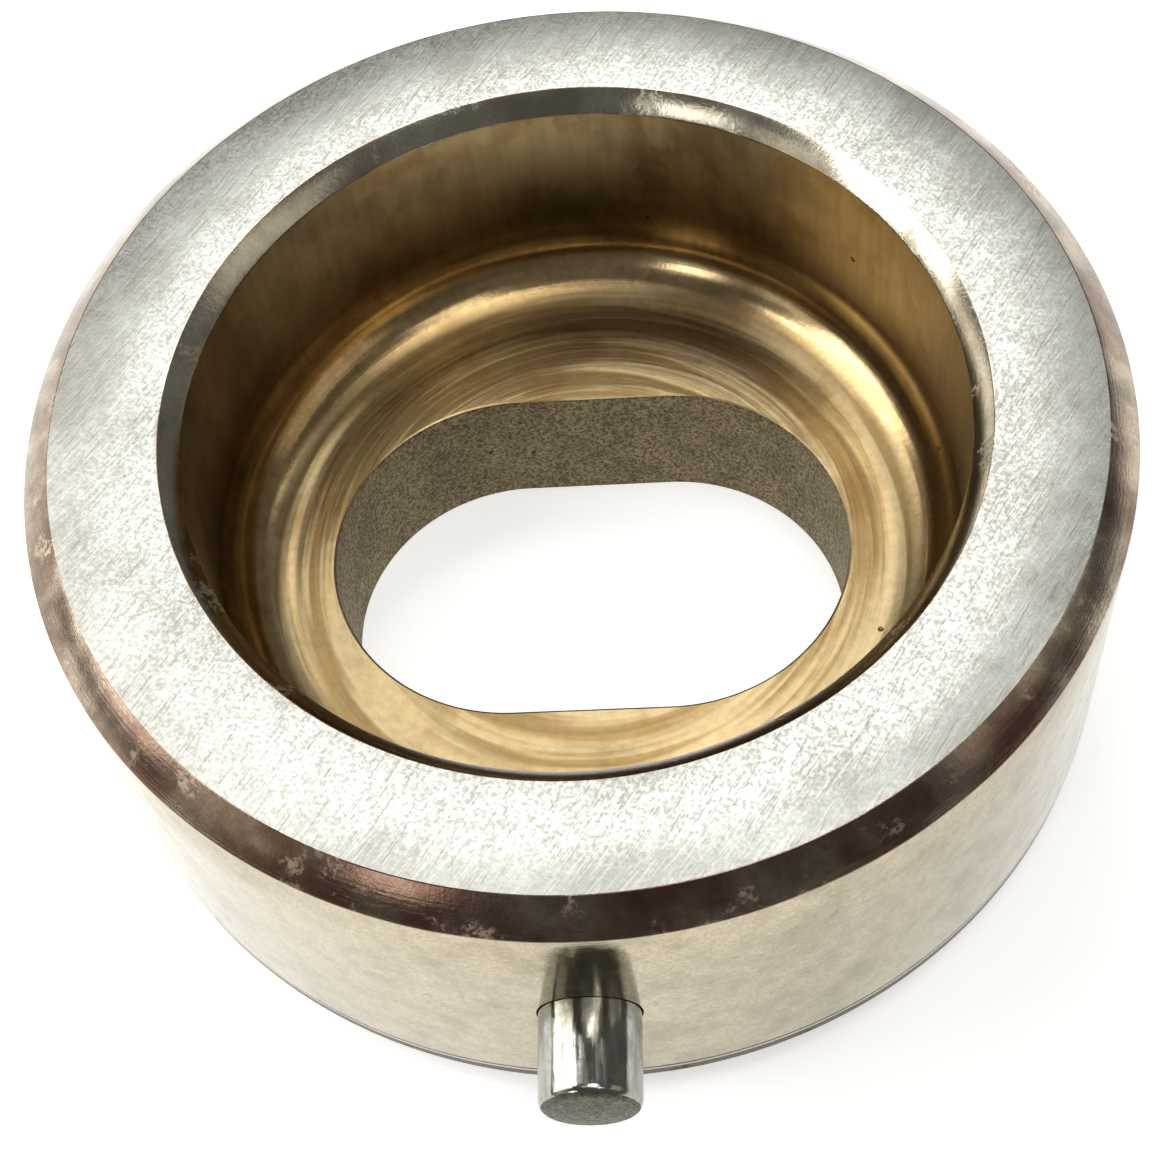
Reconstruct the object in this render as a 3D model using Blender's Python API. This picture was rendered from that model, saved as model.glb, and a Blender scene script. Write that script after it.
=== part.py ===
"""Pinned cup race of a thrust ball bearing: a steel housing ring, a bronze race cup and a dowel pin.

Run with: blender --background --python part.py

Lengths are in metres and +Z is up. The three pieces stand on the plane z = 0. The origin is the middle
of the footprint, so the bearing's own axis stands half the pin's projection away from it, towards +Y.
The pin points along -Y and the slot in the cup's floor runs along X.
"""

import math

import bmesh
import bpy
from mathutils import Matrix, Vector

# Housing ring
RING_RADIUS = 0.0450
RING_HEIGHT = 0.0370
TOP_CHAMFER = 0.0025
BASE_CHAMFER = 0.0040
LEAD_IN_LENGTH = 0.0035
LEAD_IN_DEPTH = 0.0003
LIP_CHAMFER_WIDTH = 0.0015
LIP_CHAMFER_DEPTH = 0.0017
LIP_LAND = 0.0003
SOCKET_EDGE_BREAK = 0.0008

# Race cup
CUP_BORE_RADIUS = 0.0320
CUP_WALL = 0.0060
CUP_FLOOR = 0.0145
RACEWAY_RADIUS = 0.0060
CUP_EDGE_BREAK = 0.0008
SLOT_WIDTH = 0.0320
SLOT_LENGTH = 0.0455

# Dowel pin
PIN_RADIUS = 0.0040
PIN_PROJECTION = 0.0079
PIN_ENGAGEMENT = 0.0031
PIN_HEIGHT = 0.0195
PIN_CHAMFER = 0.0004
PIN_CROWN = 0.0003

# Gap between faces that are pressed or pushed together
FIT_GAP = 0.0003

# Fineness of the round shapes
RING_SEGMENTS = 96
RACEWAY_SEGMENTS = 8
SLOT_END_SEGMENTS = 24
PIN_SEGMENTS = 40
CROWN_SEGMENTS = 4
CUTTER_MARGIN = 0.0020

# Sizes that follow from the ones above
CUP_RADIUS = CUP_BORE_RADIUS + CUP_WALL
SOCKET_RADIUS = CUP_RADIUS + FIT_GAP
LIP_UNDERSIDE = RING_HEIGHT - LIP_CHAMFER_DEPTH - LIP_LAND
CUP_RIM = LIP_UNDERSIDE - FIT_GAP
PIN_TIP = RING_RADIUS + PIN_PROJECTION
PIN_ROOT = CUP_RADIUS - PIN_ENGAGEMENT
PIN_LENGTH = PIN_TIP - PIN_ROOT
BEARING_AXIS = Vector((0.0, PIN_PROJECTION / 2, 0.0))
MERGE_DISTANCE = 1e-6
SHARP_ANGLE = math.radians(25)


def clear_scene():
    """Remove every object of the start-up scene."""
    for thing in list(bpy.data.objects):
        bpy.data.objects.remove(thing, do_unlink=True)


def make_material(name, colour, metallic, roughness):
    """Make a Principled BSDF material from a linear colour."""
    material = bpy.data.materials.new(name)
    material.use_nodes = True
    shader = material.node_tree.nodes["Principled BSDF"]
    shader.inputs["Base Color"].default_value = (*colour, 1.0)
    shader.inputs["Metallic"].default_value = metallic
    shader.inputs["Roughness"].default_value = roughness
    material.diffuse_color = (*colour, 1.0)
    return material


def link_mesh(bm, name, material=None):
    """Turn a bmesh into a linked object that is shaded smooth up to its sharp edges."""
    bmesh.ops.recalc_face_normals(bm, faces=bm.faces)
    mesh = bpy.data.meshes.new(name)
    bm.to_mesh(mesh)
    bm.free()
    mesh.shade_smooth()
    mesh.set_sharp_from_angle(angle=SHARP_ANGLE)
    if material:
        mesh.materials.append(material)
    thing = bpy.data.objects.new(name, mesh)
    bpy.context.scene.collection.objects.link(thing)
    return thing


def turned(profile, segments, closed):
    """Spin a profile of (radius, height) points round Z into a bmesh, as a lathe would cut it."""
    bm = bmesh.new()
    points = [bm.verts.new((radius, 0.0, height)) for radius, height in profile]
    edges = [bm.edges.new(pair) for pair in zip(points, points[1:])]
    if closed:
        edges.append(bm.edges.new((points[-1], points[0])))
    bmesh.ops.spin(
        bm,
        geom=points + edges,
        cent=(0.0, 0.0, 0.0),
        axis=(0.0, 0.0, 1.0),
        angle=math.tau,
        steps=segments,
        use_merge=True,
    )
    bmesh.ops.remove_doubles(bm, verts=bm.verts, dist=MERGE_DISTANCE)
    return bm


def arc(centre, radius, start, end, segments):
    """List the points of an arc of (radius, height) points, both ends included; angles are in degrees."""
    angles = [math.radians(start + (end - start) * step / segments) for step in range(segments + 1)]
    return [(centre[0] + radius * math.cos(a), centre[1] + radius * math.sin(a)) for a in angles]


def cut(thing, cutter):
    """Cut one object out of another with a live Boolean."""
    modifier = thing.modifiers.new("cut_" + cutter.name, "BOOLEAN")
    modifier.operation = "DIFFERENCE"
    modifier.solver = "EXACT"
    modifier.object = cutter


def as_cutter(thing):
    """Mark an object as a cutter, which is not part of the model."""
    thing.hide_render = True
    thing.display_type = "WIRE"
    return thing


def make_pin_hole_cutter():
    """Make the drill that opens the radial hole through the ring and into the cup's wall."""
    depth = CUTTER_MARGIN + PIN_LENGTH + FIT_GAP
    bm = bmesh.new()
    bmesh.ops.create_cone(
        bm,
        cap_ends=True,
        segments=PIN_SEGMENTS,
        radius1=PIN_RADIUS + FIT_GAP,
        radius2=PIN_RADIUS + FIT_GAP,
        depth=depth,
    )
    middle = PIN_ROOT - FIT_GAP + depth / 2
    bmesh.ops.rotate(bm, verts=bm.verts, matrix=Matrix.Rotation(math.pi / 2, 3, "X"))
    bmesh.ops.translate(bm, verts=bm.verts, vec=(0.0, -middle, PIN_HEIGHT))
    cutter = as_cutter(link_mesh(bm, "pin_hole_cutter"))
    cutter.location = BEARING_AXIS
    return cutter


def make_slot_cutter():
    """Make the prism with round ends that opens the slot through the cup's floor."""
    end_radius = SLOT_WIDTH / 2
    end_centre = SLOT_LENGTH / 2 - end_radius
    right = arc((end_centre, 0.0), end_radius, -90, 90, SLOT_END_SEGMENTS)
    left = arc((-end_centre, 0.0), end_radius, 90, 270, SLOT_END_SEGMENTS)
    bm = bmesh.new()
    outline = [bm.verts.new((x, y, -CUTTER_MARGIN)) for x, y in right + left]
    face = bm.faces.new(outline)
    height = CUP_RIM + 2 * CUTTER_MARGIN
    raised = bmesh.ops.extrude_face_region(bm, geom=[face])["geom"]
    top = [item for item in raised if isinstance(item, bmesh.types.BMVert)]
    bmesh.ops.translate(bm, verts=top, vec=(0.0, 0.0, height))
    cutter = as_cutter(link_mesh(bm, "slot_cutter"))
    cutter.location = BEARING_AXIS
    return cutter


def make_housing_ring(pin_hole):
    """Make the steel ring: a socket from below, a thin lip over the cup and a hole for the pin."""
    taper_top = BASE_CHAMFER + LEAD_IN_LENGTH
    taper_radius = RING_RADIUS - LEAD_IN_DEPTH
    profile = [
        (SOCKET_RADIUS + SOCKET_EDGE_BREAK, 0.0),
        (SOCKET_RADIUS, SOCKET_EDGE_BREAK),
        (SOCKET_RADIUS, LIP_UNDERSIDE),
        (CUP_BORE_RADIUS, LIP_UNDERSIDE),
        (CUP_BORE_RADIUS, RING_HEIGHT - LIP_CHAMFER_DEPTH),
        (CUP_BORE_RADIUS + LIP_CHAMFER_WIDTH, RING_HEIGHT),
        (RING_RADIUS - TOP_CHAMFER, RING_HEIGHT),
        (RING_RADIUS, RING_HEIGHT - TOP_CHAMFER),
        (RING_RADIUS, taper_top),
        (taper_radius, BASE_CHAMFER),
        (taper_radius - BASE_CHAMFER, 0.0),
    ]
    steel = make_material("ground_bearing_steel", (0.60, 0.60, 0.57), 1.0, 0.32)
    ring = link_mesh(turned(profile, RING_SEGMENTS, closed=True), "housing_ring", steel)
    ring.location = BEARING_AXIS
    cut(ring, pin_hole)
    return ring


def make_race_cup(pin_hole, slot):
    """Make the bronze cup: a thick floor with a slot, a raceway fillet in the corner and a thin wall."""
    raceway_centre = (CUP_BORE_RADIUS - RACEWAY_RADIUS, CUP_FLOOR + RACEWAY_RADIUS)
    raceway = arc(raceway_centre, RACEWAY_RADIUS, 0, -90, RACEWAY_SEGMENTS)
    profile = [
        (0.0, 0.0),
        (CUP_RADIUS - CUP_EDGE_BREAK, 0.0),
        (CUP_RADIUS, CUP_EDGE_BREAK),
        (CUP_RADIUS, CUP_RIM - CUP_EDGE_BREAK),
        (CUP_RADIUS - CUP_EDGE_BREAK, CUP_RIM),
        (CUP_BORE_RADIUS, CUP_RIM),
        *raceway,
        (0.0, CUP_FLOOR),
    ]
    bronze = make_material("cast_bearing_bronze", (0.43, 0.26, 0.09), 1.0, 0.30)
    cup = link_mesh(turned(profile, RING_SEGMENTS, closed=False), "race_cup", bronze)
    cup.location = BEARING_AXIS
    cut(cup, slot)
    cut(cup, pin_hole)
    return cup


def make_dowel_pin():
    """Make the hardened pin: a chamfer at its root, and a chamfer and a low crown at its free end."""
    end_radius = PIN_RADIUS - PIN_CHAMFER
    crown_radius = (end_radius**2 + PIN_CROWN**2) / (2 * PIN_CROWN)
    crown_angle = math.degrees(math.asin(end_radius / crown_radius))
    crown_centre = (0.0, PIN_LENGTH - crown_radius)
    profile = [
        (0.0, 0.0),
        (end_radius, 0.0),
        (PIN_RADIUS, PIN_CHAMFER),
        (PIN_RADIUS, PIN_LENGTH - PIN_CROWN - PIN_CHAMFER),
        *arc(crown_centre, crown_radius, 90 - crown_angle, 90, CROWN_SEGMENTS),
    ]
    steel = make_material("hardened_pin_steel", (0.70, 0.70, 0.69), 1.0, 0.12)
    pin = link_mesh(turned(profile, PIN_SEGMENTS, closed=False), "dowel_pin", steel)
    pin.rotation_euler = (math.pi / 2, 0.0, 0.0)
    pin.location = BEARING_AXIS + Vector((0.0, -PIN_ROOT, PIN_HEIGHT))
    return pin


def main():
    """Build the three pieces round one axis."""
    clear_scene()
    pin_hole = make_pin_hole_cutter()
    slot = make_slot_cutter()
    make_housing_ring(pin_hole)
    make_race_cup(pin_hole, slot)
    make_dowel_pin()


main()
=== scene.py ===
"""Looks of the pinned cup race of a thrust ball bearing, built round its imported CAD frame.

Three pieces stand on a pale floor: a ground steel housing ring, a bronze race cup pressed into it from
below, and a polished dowel pin that keeps the two from turning. Lengths are in metres unless a name
says otherwise, and every surface pattern works in millimetres round the bearing's axis.
"""

import logging
import math
from dataclasses import dataclass
from enum import Enum

import bmesh
import bpy
from mathutils import Matrix, Vector


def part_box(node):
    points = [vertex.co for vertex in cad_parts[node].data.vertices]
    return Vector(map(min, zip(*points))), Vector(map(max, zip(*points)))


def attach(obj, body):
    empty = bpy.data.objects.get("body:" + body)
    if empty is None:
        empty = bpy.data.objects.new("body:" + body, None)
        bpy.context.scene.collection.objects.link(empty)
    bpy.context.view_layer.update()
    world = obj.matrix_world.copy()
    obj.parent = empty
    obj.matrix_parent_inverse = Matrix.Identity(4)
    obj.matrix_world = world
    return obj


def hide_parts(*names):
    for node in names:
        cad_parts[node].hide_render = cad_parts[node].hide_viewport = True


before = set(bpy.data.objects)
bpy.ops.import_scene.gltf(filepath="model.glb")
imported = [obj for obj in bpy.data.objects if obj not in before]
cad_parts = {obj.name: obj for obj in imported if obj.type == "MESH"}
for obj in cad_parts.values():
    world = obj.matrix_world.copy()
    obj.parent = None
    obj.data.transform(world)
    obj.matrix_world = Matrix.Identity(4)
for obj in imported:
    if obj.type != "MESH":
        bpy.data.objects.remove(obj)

LOG = logging.getLogger("thrust_bearing_cup")
MM = 0.001
MERGE_DISTANCE = 1e-7
SHARP_ANGLE = math.radians(14)
DRILL_SEGMENTS = 160
DRILL_PLAY = 0.12 * MM
DRILL_REACH = 0.3 * MM
NOISE_ROUGHNESS = 0.6

# How far a face's normal may point up: nearly all the way on a flat face, hardly at all on a wall
FLAT = 0.98
UPRIGHT = 0.1

# Sockets of the Mix node when it mixes colours
FACTOR, FIRST, SECOND, MIXED = 0, 6, 7, 2

Socket = bpy.types.NodeSocket
NodeInputs = dict[str | int, object]
Profile = list[tuple[float, float]]


class Lathe(Enum):
    """How a turned profile ends before it is spun."""

    CLOSED = "the last point joins the first"
    OPEN = "both ends stay open"


class RingFinish(Enum):
    """The ring's finishes, in the order of its materials; its pin hole takes the last one."""

    TOP = 0
    OUTSIDE = 1
    LIP = 2
    TURNED = 3
    SHADE_BAND = 4


class CupFinish(Enum):
    """The cup's finishes, in the order of its materials; its pin hole takes the last one."""

    TURNED = 0
    CAST = 1


class PinFinish(Enum):
    """The pin's finishes, in the order of its materials."""

    POLISHED = 0
    DULL = 1


def linear(hex_code: str) -> tuple[float, float, float, float]:
    """Turn an sRGB hex colour into linear RGBA.

    Args:
        hex_code: six hex digits, without a hash.

    Returns:
        The colour in the form that a shader socket takes.
    """
    shares = [int(hex_code[i : i + 2], 16) / 255 for i in (0, 2, 4)]
    red, green, blue = [s / 12.92 if s <= 0.04045 else ((s + 0.055) / 1.055) ** 2.4 for s in shares]
    return (red, green, blue, 1.0)


def add(
    tree: bpy.types.NodeTree, kind: str, inputs: NodeInputs | None = None, **settings: object
) -> bpy.types.Node:
    """Add one shader node.

    Args:
        tree: the node tree it goes into.
        kind: the node's type name without the leading ShaderNode.
        inputs: socket name or number to a value, or to an output socket to link from.
        settings: properties of the node itself.

    Returns:
        The new node.
    """
    made = tree.nodes.new("ShaderNode" + kind)
    for name, value in settings.items():
        setattr(made, name, value)
    for name, value in (inputs or {}).items():
        if isinstance(value, Socket):
            tree.links.new(value, made.inputs[name])
        else:
            made.inputs[name].default_value = value
    return made


def bearing_axis() -> Vector:
    """Return the point where the bearing's axis meets the base plane, from the CAD ring's own box."""
    low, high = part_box("housing_ring")
    return Vector(((low[0] + high[0]) / 2, (low[1] + high[1]) / 2, low[2]))


class Surface:
    """A metal surface under construction: its node tree and patterns that are measured in millimetres."""

    def __init__(self, name: str) -> None:
        """Start a material and find each point's place, radius and height round the bearing's axis.

        Args:
            name: what the finish is called.
        """
        self.material = bpy.data.materials.new(name)
        self.material.use_nodes = True
        self.tree = self.material.node_tree
        self.shader = self.tree.nodes["Principled BSDF"]
        self.shader.inputs["Metallic"].default_value = 1.0
        coordinates = add(self.tree, "TexCoord").outputs["Object"]
        self.place = add(
            self.tree,
            "Mapping",
            {"Vector": coordinates, "Location": -bearing_axis() / MM, "Scale": (1 / MM, 1 / MM, 1 / MM)},
        ).outputs["Vector"]
        flat = add(
            self.tree, "VectorMath", {0: self.place, 1: (1.0, 1.0, 0.0)}, operation="MULTIPLY"
        ).outputs["Vector"]
        self.radius = add(self.tree, "VectorMath", {0: flat}, operation="LENGTH").outputs["Value"]
        self.bearing = add(self.tree, "VectorMath", {0: flat}, operation="NORMALIZE").outputs["Vector"]
        self.depth = add(self.tree, "SeparateXYZ", {0: self.place}).outputs["Y"]
        self.height = add(self.tree, "SeparateXYZ", {0: self.place}).outputs["Z"]

    def step(self, value: Socket, low: float, high: float, start: float = 0.0, end: float = 1.0) -> Socket:
        """Turn a value into a smooth step.

        Args:
            value: the value to read.
            low: where the step starts.
            high: where the step is complete.
            start: what it gives below the step.
            end: what it gives above the step.

        Returns:
            The stepped value.
        """
        return add(
            self.tree,
            "MapRange",
            {"Value": value, "From Min": low, "From Max": high, "To Min": start, "To Max": end},
            interpolation_type="SMOOTHSTEP",
        ).outputs["Result"]

    def grain(
        self,
        size: float,
        low: float = 0.35,
        high: float = 0.65,
        detail: float = 3.0,
        stretch: tuple[float, float, float] = (1.0, 1.0, 1.0),
        turn: float = 0.0,
        shift: float = 0.0,
    ) -> Socket:
        """Make cloudy grain of one size.

        Args:
            size: width of a grain in millimetres.
            low: noise level that gives 0.
            high: noise level that gives 1.
            detail: octaves of finer noise.
            stretch: how many grains long one is along each axis.
            turn: angle of the grain round +Z, in degrees.
            shift: moves the pattern, so that two of the same size differ.

        Returns:
            The grain, from 0 to 1.
        """
        turned = add(
            self.tree,
            "Mapping",
            {"Vector": self.place, "Rotation": (0.0, 0.0, math.radians(turn))},
            vector_type="TEXTURE",
        ).outputs["Vector"]
        scaled = add(
            self.tree,
            "Mapping",
            {
                "Vector": turned,
                "Location": (shift, shift, shift),
                "Scale": tuple(1.0 / (size * s) for s in stretch),
            },
        ).outputs["Vector"]
        noise = add(
            self.tree,
            "TexNoise",
            {"Vector": scaled, "Scale": 1.0, "Detail": detail, "Roughness": NOISE_ROUGHNESS},
        ).outputs["Fac"]
        return self.step(noise, low, high)

    def turning(
        self,
        along: Socket,
        pitch: float,
        arcs: float,
        low: float = 0.35,
        high: float = 0.65,
        shift: float = 0.0,
    ) -> Socket:
        """Make the broken rings that a lathe tool leaves.

        Args:
            along: radius or height, whichever changes across the rings.
            pitch: spacing of the rings in millimetres.
            arcs: how many arcs a ring breaks into.
            low: noise level that gives 0.
            high: noise level that gives 1.
            shift: moves the pattern, so that two of the same pitch differ.

        Returns:
            The rings, from 0 to 1.
        """
        across = add(
            self.tree, "Math", {0: along, 1: 1.0 / pitch, 2: shift}, operation="MULTIPLY_ADD"
        ).outputs[0]
        around = add(
            self.tree, "VectorMath", {0: self.bearing, "Scale": arcs / math.tau}, operation="SCALE"
        ).outputs["Vector"]
        lift = add(self.tree, "CombineXYZ", {"Z": across}).outputs[0]
        vector = add(self.tree, "VectorMath", {0: around, 1: lift}, operation="ADD").outputs["Vector"]
        noise = add(
            self.tree, "TexNoise", {"Vector": vector, "Scale": 1.0, "Detail": 2.0, "Roughness": NOISE_ROUGHNESS}
        ).outputs["Fac"]
        return self.step(noise, low, high)

    def pits(self, spacing: float, size: float, share: float, shift: float = 0.0) -> Socket:
        """Scatter small round pits.

        Args:
            spacing: distance between places where a pit may be, in millimetres.
            size: a pit's radius in millimetres.
            share: how many of the places hold one, from 0 to 1.
            shift: moves the pattern.

        Returns:
            1 in a pit and 0 elsewhere.
        """
        moved = add(
            self.tree,
            "Mapping",
            {"Vector": self.place, "Location": (shift, shift, shift), "Scale": (1 / spacing,) * 3},
        ).outputs["Vector"]
        ragged = add(self.tree, "TexNoise", {"Vector": moved, "Scale": 6.0, "Detail": 2.0}).outputs["Color"]
        bent = add(
            self.tree,
            "VectorMath",
            {0: ragged, 1: (0.5 * size / spacing,) * 3, 2: moved},
            operation="MULTIPLY_ADD",
        ).outputs["Vector"]
        cells = add(self.tree, "TexVoronoi", {"Vector": bent, "Scale": 1.0})
        inside = self.step(cells.outputs["Distance"], size / spacing, 0.5 * size / spacing)
        draw = add(self.tree, "SeparateXYZ", {0: cells.outputs["Color"]}).outputs["X"]
        chosen = add(self.tree, "Math", {0: draw, 1: share}, operation="LESS_THAN").outputs[0]
        return self.both(inside, chosen)

    def scratches(
        self, spacing: float, length: float, turn: float, fullness: float, shift: float = 0.0
    ) -> Socket:
        """Make fine straight scratches that all run one way.

        Args:
            spacing: distance between scratches in millimetres.
            length: their length in millimetres.
            turn: the way they run, in degrees round +Z from +X.
            fullness: share of the surface that they cover, from 0 to 1.
            shift: moves the pattern.

        Returns:
            1 on a scratch and 0 elsewhere.
        """
        return self.grain(
            spacing,
            low=0.62 - 0.25 * fullness,
            high=0.72 - 0.25 * fullness,
            detail=1.0,
            stretch=(length / spacing, 1.0, 1.0),
            turn=turn,
            shift=shift,
        )

    def tint(self, base: Socket | tuple, share: Socket, hex_code: str, strength: float = 1.0) -> Socket:
        """Lay one colour over another.

        Args:
            base: the colour below.
            share: where the new colour shows, from 0 to 1.
            hex_code: the new colour.
            strength: how much of it shows where the share is 1.

        Returns:
            The mixed colour.
        """
        weight = add(self.tree, "Math", {0: share, 1: strength}, operation="MULTIPLY").outputs[0]
        return add(
            self.tree,
            "Mix",
            {FACTOR: weight, FIRST: base, SECOND: linear(hex_code)},
            data_type="RGBA",
        ).outputs[MIXED]

    def both(self, first: Socket, second: Socket) -> Socket:
        """Keep what two patterns share."""
        return add(self.tree, "Math", {0: first, 1: second}, operation="MULTIPLY").outputs[0]

    def spread(self, pattern: Socket, low: float, high: float) -> Socket:
        """Spread a pattern of 0 to 1 over another range."""
        return self.step(pattern, 0.0, 1.0, low, high)

    def dress(
        self, colour: Socket, roughness: Socket, relief: list[tuple[Socket, float]]
    ) -> bpy.types.Material:
        """Link the patterns to the shader.

        Args:
            colour: the base colour.
            roughness: the roughness.
            relief: patterns with the height of each in millimetres; a negative height cuts in.

        Returns:
            The finished material.
        """
        self.tree.links.new(colour, self.shader.inputs["Base Color"])
        self.tree.links.new(roughness, self.shader.inputs["Roughness"])
        normal: Socket | None = None
        for pattern, height in relief:
            inputs = {"Height": pattern, "Distance": abs(height) * MM, "Strength": 1.0}
            if normal:
                inputs["Normal"] = normal
            normal = add(self.tree, "Bump", inputs, invert=height < 0).outputs["Normal"]
        if normal:
            self.tree.links.new(normal, self.shader.inputs["Normal"])
        return self.material


@dataclass(frozen=True)
class GroundFace:
    """Bearing steel, surface ground: sandy grain, a faint diagonal lay, grey clouds and small rust pits."""

    colour: str = "D6D6CE"
    shade: str = "9C9A90"
    bright: str = "F0EFE8"
    groove: str = "8F8C80"
    rust: str = "4A4234"
    lay_turn: float = 52.0
    roughness: float = 0.36

    def paint(self) -> bpy.types.Material:
        """Make the material."""
        # Grinding leaves a bright, soft sheen with fine lines that all lean one way
        face = Surface("surface_ground_bearing_steel")
        fine = face.grain(size=0.3, low=0.3, high=0.7, detail=4.0)
        patch = face.grain(size=1.75, low=0.42, high=0.68, shift=15.0)
        cloud = face.grain(size=7.0, low=0.42, high=0.66, detail=4.0, shift=9.0)
        lay = face.scratches(spacing=0.13, length=2.6, turn=self.lay_turn, fullness=0.3)
        deep = face.scratches(spacing=0.16, length=4.0, turn=self.lay_turn + 7, fullness=0.14, shift=31.0)
        cross = face.scratches(spacing=0.15, length=3.0, turn=self.lay_turn - 62, fullness=0.1, shift=71.0)
        pits = face.pits(spacing=5.5, size=0.2, share=0.3)
        colour = face.tint(linear(self.colour), fine, self.shade, strength=0.5)
        colour = face.tint(colour, patch, self.shade, strength=0.22)
        colour = face.tint(colour, cloud, self.shade, strength=0.5)
        colour = face.tint(colour, lay, self.bright, strength=0.3)
        colour = face.tint(colour, deep, self.groove, strength=0.45)
        colour = face.tint(colour, pits, self.rust, strength=0.85)
        rough = face.spread(fine, self.roughness - 0.05, self.roughness + 0.12)
        relief = [(fine, 0.0022), (lay, -0.0012), (deep, -0.003), (cross, -0.002), (pits, -0.05)]
        return face.dress(colour, rough, relief)


@dataclass(frozen=True)
class TurnedSteel:
    """Bearing steel, turned and oiled: brown-black, with rings of tool marks, dull sandy patches and painted
    shade on the side towards the camera.
    """

    name: str = "turned_bearing_steel"
    colour: str = "C2B49F"
    shade: str = "685B4E"
    stain: str = "583022"
    sand: str = "CDBFA6"
    pit: str = "3A3226"
    sandiness: float = 0.8
    # Painted shade on the side towards the camera: how strong it is, and the depths in millimetres where it
    # fades in
    front_painted_shade: float = 0.4
    staining: float = 0.5
    front_start: float = -22.0
    front_end: float = -31.0
    roughness: float = 0.2

    def paint(self) -> bpy.types.Material:
        """Make the material."""
        # Turning and old oil give a dark mirror that breaks up into brown stains and dull, sandy spots; the
        # side towards the camera is also painted darker as shade
        face = Surface(self.name)
        slope = add(face.tree, "Math", {0: face.radius, 1: face.height}, operation="SUBTRACT").outputs[0]
        rings = face.turning(along=slope, pitch=0.25, arcs=30.0)
        fine = face.grain(size=0.3, detail=4.0)
        cloud = face.grain(size=5.0, low=0.38, high=0.66, detail=4.0, shift=5.0)
        stains = face.grain(size=9.0, low=0.42, high=0.58, shift=17.0)
        patch = face.grain(size=4.5, low=0.545, high=0.67, detail=5.0, shift=57.0)
        speckle = face.grain(size=0.5, low=0.4, high=0.6, detail=4.0, shift=61.0)
        sand = face.both(patch, speckle)
        pits = face.pits(spacing=3.0, size=0.18, share=0.3, shift=3.0)
        front = face.step(face.depth, self.front_start, self.front_end)
        colour = face.tint(linear(self.colour), fine, self.shade, strength=0.3)
        colour = face.tint(colour, cloud, self.shade, strength=0.65)
        colour = face.tint(colour, stains, self.stain, self.staining)
        colour = face.tint(colour, sand, self.sand, self.sandiness)
        # Painted shade: the stain colour darkens the side towards the camera, standing in for the dark that
        # this side mirrors
        colour = face.tint(colour, front, self.stain, self.front_painted_shade)
        colour = face.tint(colour, pits, self.pit, strength=0.7)
        rough = face.spread(sand, self.roughness, self.roughness + 0.3)
        return face.dress(colour, rough, [(rings, 0.003), (fine, 0.003), (sand, 0.01), (pits, -0.03)])


# Honing leaves the lip's chamfer paler and cleaner than turning does; its side towards the camera gets strong
# painted shade, for the dark bore that it mirrors
HONED_STEEL = TurnedSteel(
    name="honed_bearing_steel",
    colour="D6CFBC",
    shade="A89D86",
    stain="4A3626",
    sand="D8CFBC",
    sandiness=0.3,
    front_painted_shade=0.9,
    staining=0.2,
    roughness=0.17,
)

# Painted shade: the narrow band above the base chamfer is painted nearly black and dull, for the dark that the
# edge mirrors next to the floor
SHADE_BAND_STEEL = TurnedSteel(
    name="painted_shade_band_steel",
    colour="3F2E26",
    shade="261D18",
    stain="341A12",
    sand="8C7A64",
    sandiness=0.25,
    roughness=0.36,
)


@dataclass(frozen=True)
class GroundOutside:
    """Bearing steel, cylindrically ground: near a mirror, cloudy, warmed by handling."""

    colour: str = "BDB298"
    shade: str = "938A74"
    stain: str = "7C7058"
    mark: str = "5F5646"
    roughness: float = 0.1

    def paint(self) -> bpy.types.Material:
        """Make the material."""
        # Fine grinding gives a clear but slightly smeared mirror; handling gives it warm clouds
        face = Surface("cylindrically_ground_bearing_steel")
        fine = face.grain(size=0.35, detail=4.0)
        cloud = face.grain(size=2.0, low=0.4, high=0.7, detail=4.0, shift=7.0)
        stains = face.grain(size=7.0, low=0.46, high=0.7, detail=4.0, shift=27.0)
        marks = face.grain(size=2.2, low=0.66, high=0.72, detail=6.0, shift=83.0)
        rings = face.turning(along=face.height, pitch=0.35, arcs=16.0)
        colour = face.tint(linear(self.colour), fine, self.shade, strength=0.5)
        colour = face.tint(colour, cloud, self.shade, strength=0.45)
        colour = face.tint(colour, stains, self.stain, strength=0.45)
        colour = face.tint(colour, marks, self.mark, strength=0.4)
        rough = face.spread(cloud, self.roughness, self.roughness + 0.08)
        return face.dress(colour, rough, [(rings, 0.0012), (fine, 0.002)])


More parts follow.
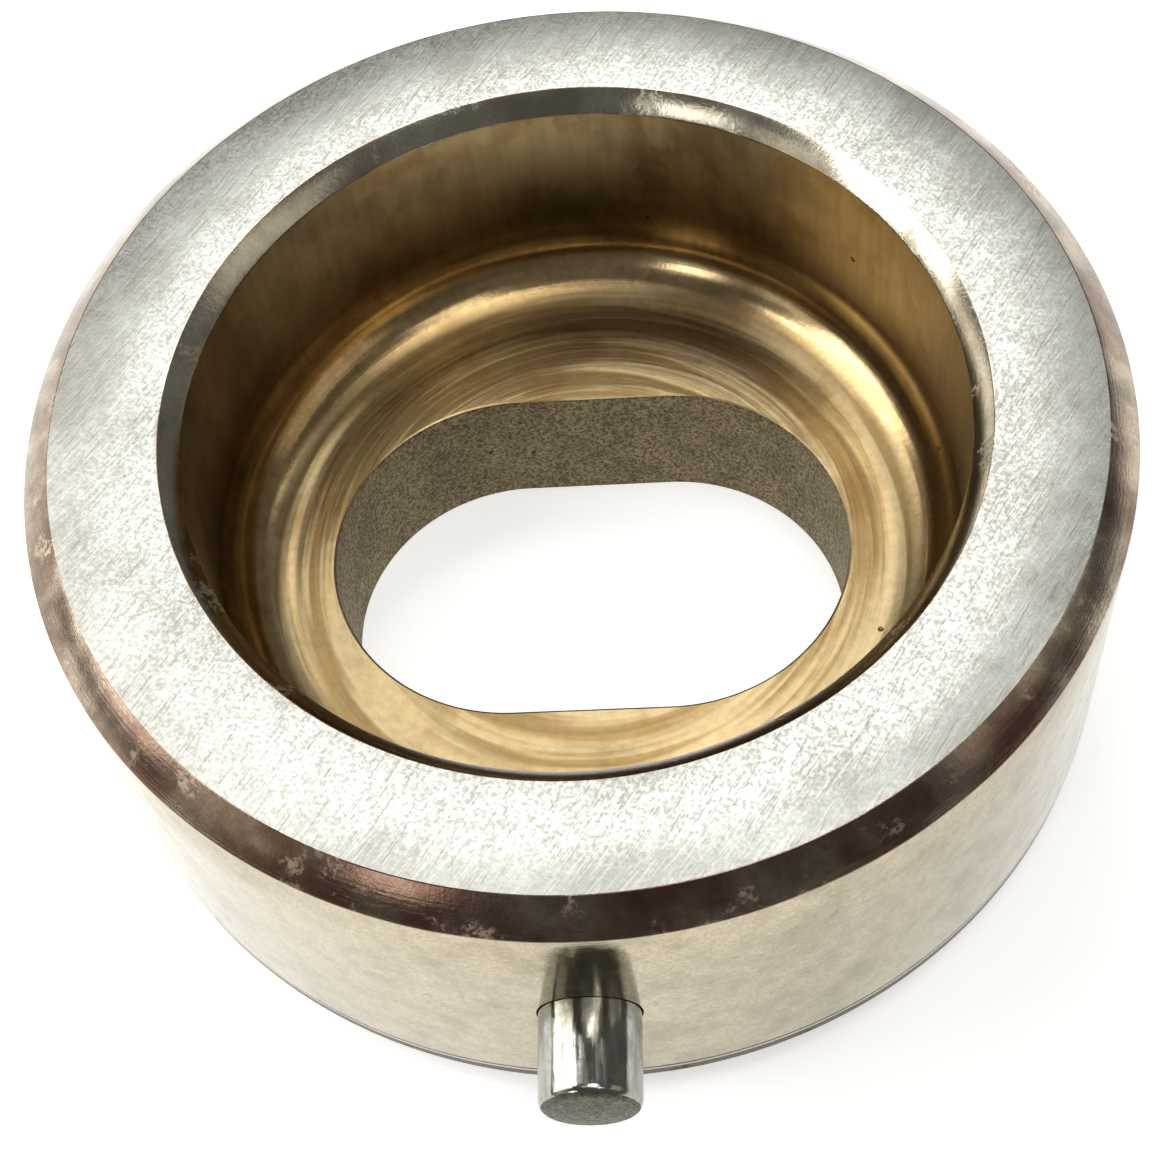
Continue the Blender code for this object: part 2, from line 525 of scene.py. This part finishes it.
@dataclass(frozen=True)
class TurnedBronze:
    """Bearing bronze, turned and worn bright: golden, with rings of tool marks and brown oil stains; its wall
    and floor are painted darker as shade.

    The heights of its zones are in millimetres above the cup's floor.
    """

    floor_height: float
    colour: str = "CCB081"
    shade: str = "957A4D"
    stain: str = "5E4526"
    bright: str = "E4D2A6"
    # Darker colours painted on the wall, as shade, and on the floor, partly as its duller tone and partly as
    # shade
    wall: str = "8B774F"
    flat: str = "655538"
    pit: str = "33240F"
    # Heights above the floor where the wall, the floor and the lower wall are painted darker
    wall_zone: tuple[float, float] = (4.5, 8.0)
    flat_zone: tuple[float, float] = (1.2, 0.2)
    low_wall_zone: tuple[float, float] = (14.0, 7.0)
    roughness: float = 0.18
    dull_roughness: float = 0.30

    def zone(self, face: Surface, limits: tuple[float, float]) -> Socket:
        """Blend in a zone between two heights above the floor."""
        return face.step(face.height, self.floor_height + limits[0], self.floor_height + limits[1])

    def paint(self) -> bpy.types.Material:
        """Make the material."""
        # Turned bronze shines gold in the raceway, where balls ran, and stays duller on the wall and floor,
        # which are also painted darker as shade
        face = Surface("turned_bearing_bronze")
        rings = face.turning(along=face.radius, pitch=0.7, arcs=9.0)
        coarse = face.turning(along=face.radius, pitch=2.0, arcs=5.0, low=0.42, high=0.6, shift=4.0)
        streaks = face.grain(size=0.8, low=0.35, high=0.7, stretch=(1.0, 1.0, 14.0))
        fine = face.grain(size=0.35, low=0.3, high=0.7, detail=4.0)
        cloud = face.grain(size=4.0, low=0.42, high=0.7, detail=4.0, shift=13.0)
        stains = face.grain(size=8.0, low=0.5, high=0.7, detail=4.0, shift=41.0)
        patches = face.grain(size=4.5, low=0.45, high=0.6, detail=5.0, stretch=(1.0, 1.0, 1.5), shift=63.0)
        glints = face.grain(size=0.8, low=0.5, high=0.7, detail=4.0, shift=77.0)
        pits = face.pits(spacing=6.0, size=0.3, share=0.3, shift=8.0)
        wall = self.zone(face, self.wall_zone)
        flat = self.zone(face, self.flat_zone)
        low_wall_shade = face.both(wall, self.zone(face, self.low_wall_zone))
        colour = face.tint(linear(self.colour), fine, self.shade, strength=0.3)
        colour = face.tint(colour, cloud, self.shade, strength=0.4)
        # Painted shade: the wall is darkened for the dim inside of the cup that it mirrors
        colour = face.tint(colour, wall, self.wall, strength=0.8)
        colour = face.tint(colour, face.both(wall, patches), self.stain, strength=0.5)
        colour = face.tint(colour, glints, self.shade, strength=0.15)
        # Painted shade: the lower wall, just above the raceway, is darkened most, with the stain colour
        colour = face.tint(colour, low_wall_shade, self.stain, strength=0.6)
        # The floor is painted darker: partly its duller tone, partly painted shade at the bottom of the cup
        colour = face.tint(colour, flat, self.flat, strength=0.9)
        colour = face.tint(colour, rings, self.shade, strength=0.4)
        colour = face.tint(colour, coarse, self.bright, strength=0.25)
        colour = face.tint(colour, stains, self.stain, strength=0.4)
        colour = face.tint(colour, streaks, self.stain, strength=0.2)
        colour = face.tint(colour, pits, self.pit, strength=0.8)
        dull = add(face.tree, "Math", {0: wall, 1: flat}, operation="MAXIMUM").outputs[0]
        rough = face.spread(dull, self.roughness, self.dull_roughness)
        return face.dress(colour, rough, [(rings, 0.005), (coarse, 0.012), (fine, 0.002), (pits, -0.05)])


@dataclass(frozen=True)
class CastSkin:
    """Bronze left as cast: dull, dark grey-brown and coarse."""

    colour: str = "9A8C6C"
    shade: str = "463D2D"
    spot: str = "B8AB8A"
    pit: str = "2A1D12"
    roughness: float = 0.55

    def paint(self) -> bpy.types.Material:
        """Make the material."""
        # Sand casting leaves a dull, peppered skin that mirrors nothing
        face = Surface("cast_bronze_skin")
        coarse = face.grain(size=0.3, low=0.36, high=0.64)
        light = face.grain(size=0.24, low=0.55, high=0.7, detail=2.0, shift=21.0)
        cloud = face.grain(size=4.0, low=0.4, high=0.7, shift=3.0)
        pits = face.pits(spacing=3.5, size=0.3, share=0.35, shift=1.0)
        colour = face.tint(linear(self.colour), coarse, self.shade, strength=0.7)
        colour = face.tint(colour, light, self.spot, strength=0.4)
        colour = face.tint(colour, cloud, self.shade, strength=0.35)
        colour = face.tint(colour, pits, self.pit, strength=0.8)
        rough = face.spread(coarse, self.roughness, self.roughness + 0.15)
        return face.dress(colour, rough, [(coarse, 0.06), (light, 0.03), (pits, -0.1)])


@dataclass(frozen=True)
class PolishedPin:
    """Hardened dowel steel, ground and polished: a clear mirror with faint marks along it."""

    colour: str = "AAAAA4"
    shade: str = "787364"
    roughness: float = 0.09

    def paint(self) -> bpy.types.Material:
        """Make the material."""
        # Polish gives long, clear streaks of light down the pin, a little broken by drawn marks
        face = Surface("polished_hardened_dowel_steel")
        fine = face.grain(size=0.5, low=0.35, high=0.7, detail=4.0)
        cloud = face.grain(size=1.6, low=0.42, high=0.66, detail=4.0, shift=7.0)
        draw = face.grain(size=0.5, low=0.38, high=0.66, stretch=(1.0, 7.0, 1.0), shift=19.0)
        colour = face.tint(linear(self.colour), fine, self.shade, strength=0.25)
        colour = face.tint(colour, cloud, self.shade, strength=0.4)
        colour = face.tint(colour, draw, self.shade, strength=0.45)
        rough = face.spread(draw, self.roughness, self.roughness + 0.12)
        return face.dress(colour, rough, [(fine, 0.0012), (draw, 0.004)])


@dataclass(frozen=True)
class DullPinEnd:
    """Dowel steel as heat treated: a dull, mottled grey-brown end."""

    colour: str = "6C665A"
    shade: str = "403B32"
    roughness: float = 0.42

    def paint(self) -> bpy.types.Material:
        """Make the material."""
        # The furnace leaves a mottled grey scale that the polishing never reached
        face = Surface("heat_treated_dowel_steel")
        fine = face.grain(size=0.25, detail=4.0)
        cloud = face.grain(size=1.0, low=0.4, high=0.7, shift=3.0)
        colour = face.tint(linear(self.colour), fine, self.shade, strength=0.6)
        colour = face.tint(colour, cloud, self.shade, strength=0.5)
        rough = face.spread(fine, self.roughness, self.roughness + 0.15)
        return face.dress(colour, rough, [(fine, 0.01)])


def spin_profile(profile: Profile, segments: int, lathe: Lathe) -> bmesh.types.BMesh:
    """Spin a profile round Z, as a lathe would cut it.

    Args:
        profile: points of radius and height.
        segments: steps in the full turn.
        lathe: how the profile ends.

    Returns:
        A mesh centred on the origin's Z axis.
    """
    bm = bmesh.new()
    points = [bm.verts.new((radius, 0.0, height)) for radius, height in profile]
    edges = [bm.edges.new(pair) for pair in zip(points, points[1:])]
    if lathe is Lathe.CLOSED:
        edges.append(bm.edges.new((points[-1], points[0])))
    bmesh.ops.spin(
        bm,
        geom=points + edges,
        cent=(0.0, 0.0, 0.0),
        axis=(0.0, 0.0, 1.0),
        angle=math.tau,
        steps=segments,
        use_merge=True,
    )
    bmesh.ops.remove_doubles(bm, verts=bm.verts, dist=MERGE_DISTANCE)
    return bm


def arc(centre: tuple[float, float], radius: float, start: float, end: float, steps: int) -> Profile:
    """List the points of an arc, both ends included; the angles are in degrees."""
    turns = [math.radians(start + (end - start) * step / steps) for step in range(steps + 1)]
    return [(centre[0] + radius * math.cos(t), centre[1] + radius * math.sin(t)) for t in turns]


def round_edges(bm: bmesh.types.BMesh, edges: list[bmesh.types.BMEdge], width: float) -> None:
    """Break sharp edges with a small two-step bevel."""
    bmesh.ops.bevel(
        bm,
        geom=edges,
        offset=width,
        offset_type="OFFSET",
        affect="EDGES",
        segments=2,
        profile=0.5,
        material=-1,
    )


def finish_mesh(bm: bmesh.types.BMesh, name: str, finishes: list[bpy.types.Material]) -> bpy.types.Object:
    """Turn a mesh into a linked object that is smooth up to its sharp edges.

    Args:
        bm: the mesh, which is freed.
        name: the piece's name.
        finishes: its materials, in the order of the faces' material numbers.

    Returns:
        The piece, standing at the origin with its place in its mesh.
    """
    bmesh.ops.recalc_face_normals(bm, faces=bm.faces)
    mesh = bpy.data.meshes.new(name)
    bm.to_mesh(mesh)
    bm.free()
    mesh.shade_smooth()
    mesh.set_sharp_from_angle(angle=SHARP_ANGLE)
    for finish in finishes:
        mesh.materials.append(finish)
    piece = bpy.data.objects.new(name, mesh)
    bpy.context.scene.collection.objects.link(piece)
    return piece


def drill(piece: bpy.types.Object, start: Vector, end: Vector, radius: float) -> None:
    """Drill a round hole into a piece, finished as its last material, and leave no modifier behind.

    Args:
        piece: the piece to drill.
        start: a point on the drill's axis outside the piece.
        end: the middle of the hole's bottom.
        radius: the hole's radius.
    """
    along = end - start
    bm = bmesh.new()
    bmesh.ops.create_cone(
        bm, cap_ends=True, segments=DRILL_SEGMENTS, radius1=radius, radius2=radius, depth=along.length
    )
    turn = along.to_track_quat("Z", "Y").to_matrix().to_4x4()
    bmesh.ops.transform(bm, matrix=Matrix.Translation((start + end) / 2) @ turn, verts=bm.verts)
    for face in bm.faces:
        face.material_index = len(piece.data.materials) - 1
    bit = finish_mesh(bm, "drill_bit", list(piece.data.materials))
    cut = piece.modifiers.new("drill", "BOOLEAN")
    cut.operation, cut.solver, cut.object = "DIFFERENCE", "EXACT", bit
    drilled = bpy.data.meshes.new_from_object(piece.evaluated_get(bpy.context.evaluated_depsgraph_get()))
    piece.modifiers.clear()
    old, piece.data = piece.data, drilled
    bpy.data.meshes.remove(old)
    bpy.data.objects.remove(bit, do_unlink=True)
    drilled.name = piece.name
    drilled.shade_smooth()
    drilled.set_sharp_from_angle(angle=SHARP_ANGLE)


@dataclass
class HousingRing:
    """The steel ring: ground top and outside, turned chamfers, and a socket for the cup underneath."""

    top_chamfer: float = 2.5 * MM
    base_chamfer: float = 4.0 * MM
    lead_in_depth: float = 0.3 * MM
    lip_inner_radius: float = 32.0 * MM
    lip_chamfer_width: float = 1.5 * MM
    lip_chamfer_depth: float = 1.7 * MM
    lip_land: float = 0.1 * MM
    socket_radius: float = 38.03 * MM
    socket_edge_break: float = 0.8 * MM
    edge_round: float = 0.08 * MM
    band_width: float = 2.5 * MM
    band_line: float = 0.35 * MM
    band_strip: float = 0.45 * MM
    band_foot: float = 0.4 * MM
    hole_zone_low: float = 13.5 * MM
    hole_zone_high: float = 25.5 * MM
    edge_angle: float = math.radians(20)
    segments: int = 360

    def __post_init__(self) -> None:
        """Take the overall sizes from the CAD ring."""
        low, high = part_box("housing_ring")
        self.radius = (high[0] - low[0]) / 2
        self.height = high[2] - low[2]
        self.lip_underside = self.height - self.lip_chamfer_depth - self.lip_land
        self.band_top = self.base_chamfer + self.band_width
        self.strip_top = self.band_top - self.band_line
        self.strip_foot = self.strip_top - self.band_strip

    def profile(self) -> Profile:
        """List the ring's turned outline, from the socket's mouth up, over the top and down the outside."""
        taper_radius = self.radius - self.lead_in_depth
        return [
            (self.socket_radius + self.socket_edge_break, 0.0),
            (self.socket_radius, self.socket_edge_break),
            (self.socket_radius, self.lip_underside),
            (self.lip_inner_radius, self.lip_underside),
            (self.lip_inner_radius, self.height - self.lip_chamfer_depth),
            (self.lip_inner_radius + self.lip_chamfer_width, self.height),
            (self.radius - self.top_chamfer, self.height),
            (self.radius, self.height - self.top_chamfer),
            (self.radius, self.hole_zone_high),
            (self.radius, self.hole_zone_low),
            (self.radius, self.band_top),
            (self.radius - 0.02 * MM, self.strip_top),
            (self.radius - 0.05 * MM, self.strip_foot),
            (self.radius - self.lead_in_depth / 2, self.base_chamfer + self.band_foot),
            (taper_radius, self.base_chamfer),
            (taper_radius - self.base_chamfer, 0.0),
        ]

    def in_band(self, place: Vector) -> bool:
        """Tell whether a place is on the narrow band above the base chamfer that is painted dark as shade."""
        return place.xy.length > self.radius - MM and place.z < self.band_top

    def finish_of(self, face: bmesh.types.BMFace) -> RingFinish:
        """Choose a face's finish from where it is and how it leans."""
        middle = face.calc_center_median()
        radius = middle.xy.length
        inner = radius < self.lip_inner_radius + self.lip_chamfer_width and middle.z > self.lip_underside
        if face.normal.z > FLAT and middle.z > self.height - 0.1 * MM:
            return RingFinish.TOP
        if self.in_band(middle) and middle.z > self.base_chamfer:
            # The band's narrow strip keeps the ground finish; the rest of the band is painted dark as shade
            return RingFinish.OUTSIDE if self.strip_foot < middle.z < self.strip_top else RingFinish.SHADE_BAND
        if radius > self.radius - 0.1 * MM and abs(face.normal.z) < UPRIGHT:
            return RingFinish.OUTSIDE
        if inner and face.normal.z > UPRIGHT:
            return RingFinish.LIP
        return RingFinish.TURNED

    def build(self) -> bpy.types.Object:
        """Turn the ring and break its edges."""
        bm = spin_profile(self.profile(), self.segments, Lathe.CLOSED)
        bmesh.ops.recalc_face_normals(bm, faces=bm.faces)
        sharp = [e for e in bm.edges if e.calc_face_angle(0.0) > self.edge_angle]
        round_edges(bm, sharp, self.edge_round)
        for face in bm.faces:
            face.material_index = self.finish_of(face).value
        bmesh.ops.translate(bm, verts=bm.verts, vec=bearing_axis())
        finishes = [
            finish.paint()
            for finish in (GroundFace(), GroundOutside(), HONED_STEEL, TurnedSteel(), SHADE_BAND_STEEL)
        ]
        return finish_mesh(bm, "housing_ring_finished", finishes)


@dataclass
class RaceCup:
    """The bronze cup: bore, raceway fillet, thick floor and the slot through it."""

    bore_radius: float = 32.0 * MM
    wall: float = 6.0 * MM
    floor: float = 14.5 * MM
    raceway_radius: float = 6.0 * MM
    edge_break: float = 0.8 * MM
    slot_width: float = 32.0 * MM
    slot_length: float = 45.5 * MM
    slot_edge_round: float = 0.22 * MM
    rim: float = 35.18 * MM
    mouth_angle: float = math.radians(60)
    segments: int = 320
    raceway_steps: int = 28

    def slot_loop(self, bm: bmesh.types.BMesh) -> list[bmesh.types.BMEdge]:
        """Draw the slot's outline at half the floor's height, as a circle whose halves are moved apart."""
        made = bmesh.ops.create_circle(bm, segments=self.segments, radius=self.slot_width / 2)
        points = made["verts"]
        half_step = Matrix.Rotation(math.pi / self.segments, 3, "Z")
        bmesh.ops.rotate(bm, verts=points, matrix=half_step)
        reach = (self.slot_length - self.slot_width) / 2
        for side in (1, -1):
            half = [p for p in points if p.co.x * side > 0]
            bmesh.ops.translate(bm, verts=half, vec=(side * reach, 0.0, 0.0))
        bmesh.ops.translate(bm, verts=points, vec=(0.0, 0.0, self.floor / 2))
        return list({edge for point in points for edge in point.link_edges})

    def finish_of(self, face: bmesh.types.BMFace) -> CupFinish:
        """Leave the slot's wall as cast and turn the rest."""
        middle = face.calc_center_median()
        in_slot = middle.xy.length < self.slot_length / 2 + MM and middle.z < self.floor
        return CupFinish.CAST if in_slot and abs(face.normal.z) < UPRIGHT else CupFinish.TURNED

    def build(self) -> bpy.types.Object:
        """Turn the cup's wall, cut the slot and bridge the floor and the base to it."""
        outer = self.bore_radius + self.wall
        flat_radius = self.bore_radius - self.raceway_radius
        centre = (flat_radius, self.floor + self.raceway_radius)
        profile = [
            (flat_radius, 0.0),
            (outer - self.edge_break, 0.0),
            (outer, self.edge_break),
            (outer, self.rim - self.edge_break),
            (outer - self.edge_break, self.rim),
            (self.bore_radius, self.rim),
            *arc(centre, self.raceway_radius, 0, -90, self.raceway_steps),
        ]
        bm = spin_profile(profile, self.segments, Lathe.OPEN)
        rims = [e for e in bm.edges if e.is_boundary]
        base_ring = [e for e in rims if e.verts[0].co.z < self.floor / 2]
        floor_ring = [e for e in rims if e.verts[0].co.z > self.floor / 2]
        slot = self.slot_loop(bm)
        points = list({point for edge in slot for point in edge.verts})
        sunk = bmesh.ops.extrude_edge_only(bm, edges=slot)["geom"]
        low_points = [item for item in sunk if isinstance(item, bmesh.types.BMVert)]
        low_slot = [e for e in sunk if isinstance(e, bmesh.types.BMEdge) and e.is_boundary and e not in slot]
        # Loops in one plane bridge crosswise, so the slot is bridged while it stands apart from both planes
        bmesh.ops.translate(bm, verts=low_points, vec=(0.0, 0.0, -2 * self.floor))
        bmesh.ops.bridge_loops(bm, edges=floor_ring + slot)
        bmesh.ops.bridge_loops(bm, edges=base_ring + low_slot)
        bmesh.ops.translate(bm, verts=points, vec=(0.0, 0.0, self.floor / 2))
        bmesh.ops.translate(bm, verts=low_points, vec=(0.0, 0.0, self.floor * 1.5))
        bmesh.ops.recalc_face_normals(bm, faces=bm.faces)
        for face in bm.faces:
            face.material_index = self.finish_of(face).value
        mouth = [e for e in slot if e.is_valid and e.calc_face_angle(0.0) > self.mouth_angle]
        round_edges(bm, mouth, self.slot_edge_round)
        bmesh.ops.translate(bm, verts=bm.verts, vec=bearing_axis())
        finishes = [TurnedBronze(self.floor / MM).paint(), CastSkin().paint()]
        return finish_mesh(bm, "race_cup_finished", finishes)


@dataclass
class DowelPin:
    """The hardened pin, chamfered at its buried end, rounded and crowned at its free end."""

    chamfer: float = 0.95 * MM
    crown: float = 0.3 * MM
    dull_from: float = 0.6
    segments: int = 160
    round_steps: int = 8
    crown_steps: int = 8

    def __post_init__(self) -> None:
        """Take the pin's size and place from the CAD pin."""
        low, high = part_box("dowel_pin")
        self.radius = (high[0] - low[0]) / 2
        self.length = high[1] - low[1]
        self.height = (high[2] + low[2]) / 2
        self.tip = low[1]
        self.root = high[1]

    def build(self) -> bpy.types.Object:
        """Turn the pin and lay it along -Y."""
        end_radius = self.radius - self.chamfer
        ball = (end_radius**2 + self.crown**2) / (2 * self.crown)
        rise = math.degrees(math.asin(end_radius / ball))
        shoulder = self.length - self.crown - self.chamfer
        profile = [
            (0.0, 0.0),
            (end_radius, 0.0),
            (self.radius, self.chamfer),
            *arc((end_radius, shoulder), self.chamfer, 0, 90 - rise, self.round_steps),
            *arc((0.0, self.length - ball), ball, 90 - rise, 90, self.crown_steps),
        ]
        bm = spin_profile(profile, self.segments, Lathe.OPEN)
        bmesh.ops.recalc_face_normals(bm, faces=bm.faces)
        for face in bm.faces:
            finish = PinFinish.DULL if face.normal.z > self.dull_from else PinFinish.POLISHED
            face.material_index = finish.value
        place = Matrix.Translation((bearing_axis().x, self.root, self.height))
        bmesh.ops.transform(bm, matrix=place @ Matrix.Rotation(math.pi / 2, 4, "X"), verts=bm.verts)
        return finish_mesh(bm, "dowel_pin_finished", [PolishedPin().paint(), DullPinEnd().paint()])


@dataclass(frozen=True)
class SoftLight:
    """A soft box that faces the bearing, placed by the direction it shines from."""

    name: str
    azimuth: float
    elevation: float
    distance: float
    width: float
    height: float
    radiance: float
    colour: str = "FFFFFF"

    def place(self, target: Vector) -> None:
        """Hang the light.

        Args:
            target: the point it faces.
        """
        light = bpy.data.lights.new(self.name, "AREA")
        light.shape = "RECTANGLE"
        light.size, light.size_y = self.width, self.height
        light.energy = math.pi * self.radiance * self.width * self.height
        light.color = linear(self.colour)[:3]
        turn, rise = math.radians(self.azimuth), math.radians(self.elevation)
        towards = Vector((math.sin(turn) * math.cos(rise), math.cos(turn) * math.cos(rise), math.sin(rise)))
        lamp = bpy.data.objects.new(self.name, light)
        lamp.location = target + towards * self.distance
        lamp.rotation_euler = towards.to_track_quat("Z", "Y").to_euler()
        bpy.context.scene.collection.objects.link(lamp)


@dataclass
class Studio:
    """Floor, soft lights and camera."""

    floor_size: float = 1.6
    lens: float = 70.88
    sensor: float = 36.0
    camera_place: tuple[float, float, float] = (0.01188, -0.10521, 0.18592)
    look: tuple[float, float, float] = (-0.06518, 0.51139, -0.85688)
    camera_right: tuple[float, float, float] = (0.99694, -0.00368, -0.07803)
    near_clip: float = 0.01
    surround: float = 0.15
    surround_colour: str = "FFFDF8"
    floor_colour: str = "FAFAF8"
    floor_roughness: float = 0.7
    floor_glow: float = 0.50
    light_aim: float = 0.03

    def lay_floor(self) -> None:
        """Lay a sheet of white board, which glows a little, under the bearing."""
        bm = bmesh.new()
        bmesh.ops.create_grid(bm, x_segments=1, y_segments=1, size=self.floor_size / 2)
        floor = finish_mesh(bm, "floor", [])
        material = bpy.data.materials.new("white_board")
        material.use_nodes = True
        shader = material.node_tree.nodes["Principled BSDF"]
        shader.inputs["Base Color"].default_value = linear(self.floor_colour)
        shader.inputs["Roughness"].default_value = self.floor_roughness
        shader.inputs["Emission Color"].default_value = linear("FFFFFF")
        shader.inputs["Emission Strength"].default_value = self.floor_glow
        floor.data.materials.append(material)

    def hang_lights(self) -> None:
        """Hang the soft boxes and set a dim surround."""
        target = bearing_axis() + Vector((0.0, 0.0, self.light_aim))
        # Name, azimuth, elevation, distance, width, height, radiance and, where it is not white, colour
        for light in (
            SoftLight("left_window", -90, 32, 0.9, 0.50, 0.74, 3.9),
            SoftLight("left_window_top", -80, 58, 0.9, 0.22, 0.14, 5.0),
            SoftLight("left_fill", -58, 45, 0.9, 0.35, 0.45, 1.3, "FFFCF4"),
            SoftLight("left_wall", -55, 5, 0.9, 0.75, 0.25, 1.1, "FFF8EC"),
            SoftLight("left_near_wall", -120, 18, 0.9, 0.30, 0.40, 0.6, "FFF8EC"),
            SoftLight("right_wall", 100, 27, 0.9, 0.55, 0.42, 0.5, "FFF8EC"),
            SoftLight("front_left_box", -146, 30, 0.9, 0.18, 0.22, 4.0),
            SoftLight("ceiling", 112, 78, 0.9, 0.32, 0.32, 5.2),
            SoftLight("back_left_box", -23, 62.5, 0.9, 0.46, 0.31, 3.1),
            SoftLight("back_right_box", 10, 49, 0.9, 0.34, 0.18, 1.9),
            SoftLight("back_strip", 4, 63, 0.85, 0.09, 0.12, 9.0),
            SoftLight("overhead_near", 178, 76, 0.9, 0.50, 0.22, 1.0),
            SoftLight("right_box", 135, 60, 0.9, 0.20, 0.20, 2.2),
            SoftLight("right_strip", 60, 51, 0.9, 0.06, 0.30, 3.0),
        ):
            light.place(target)
        world = bpy.data.worlds.new("studio")
        world.use_nodes = True
        background = world.node_tree.nodes["Background"]
        background.inputs["Color"].default_value = linear(self.surround_colour)
        background.inputs["Strength"].default_value = self.surround
        bpy.context.scene.world = world

    def set_camera(self) -> None:
        """Set the camera from its place, the way it looks and the way its right side points."""
        data = bpy.data.cameras.new("camera")
        data.lens, data.sensor_width, data.clip_start = self.lens, self.sensor, self.near_clip
        camera = bpy.data.objects.new("camera", data)
        back = -Vector(self.look).normalized()
        up = back.cross(Vector(self.camera_right)).normalized()
        turn = Matrix((up.cross(back), up, back)).transposed()
        camera.matrix_world = Matrix.Translation(bearing_axis() + Vector(self.camera_place)) @ turn.to_4x4()
        bpy.context.scene.collection.objects.link(camera)
        bpy.context.scene.camera = camera

    def build(self) -> None:
        """Set up the floor, the lights and the camera."""
        self.lay_floor()
        self.hang_lights()
        self.set_camera()
        bpy.context.scene.view_settings.view_transform = "Standard"


def main() -> None:
    """Build and dress the bearing, then set up the studio."""
    logging.basicConfig(level=logging.INFO, format="%(name)s: %(message)s")
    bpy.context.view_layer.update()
    ring, cup, pin = HousingRing(), RaceCup(), DowelPin()
    mouth = Vector((bearing_axis().x, pin.tip, pin.height))
    bottom = Vector((bearing_axis().x, pin.root + DRILL_REACH, pin.height))
    housing = ring.build()
    race = cup.build()
    dowel = pin.build()
    for piece in (housing, race):
        drill(piece, mouth, bottom, pin.radius + DRILL_PLAY)
    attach(housing, "root")
    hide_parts("housing_ring")
    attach(race, "root")
    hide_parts("race_cup")
    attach(dowel, "root")
    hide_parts("dowel_pin")
    for piece in (housing, race, dowel):
        LOG.info("%s: %d faces", piece.name, len(piece.data.polygons))
    Studio().build()


if __name__ == "__main__":
    main()
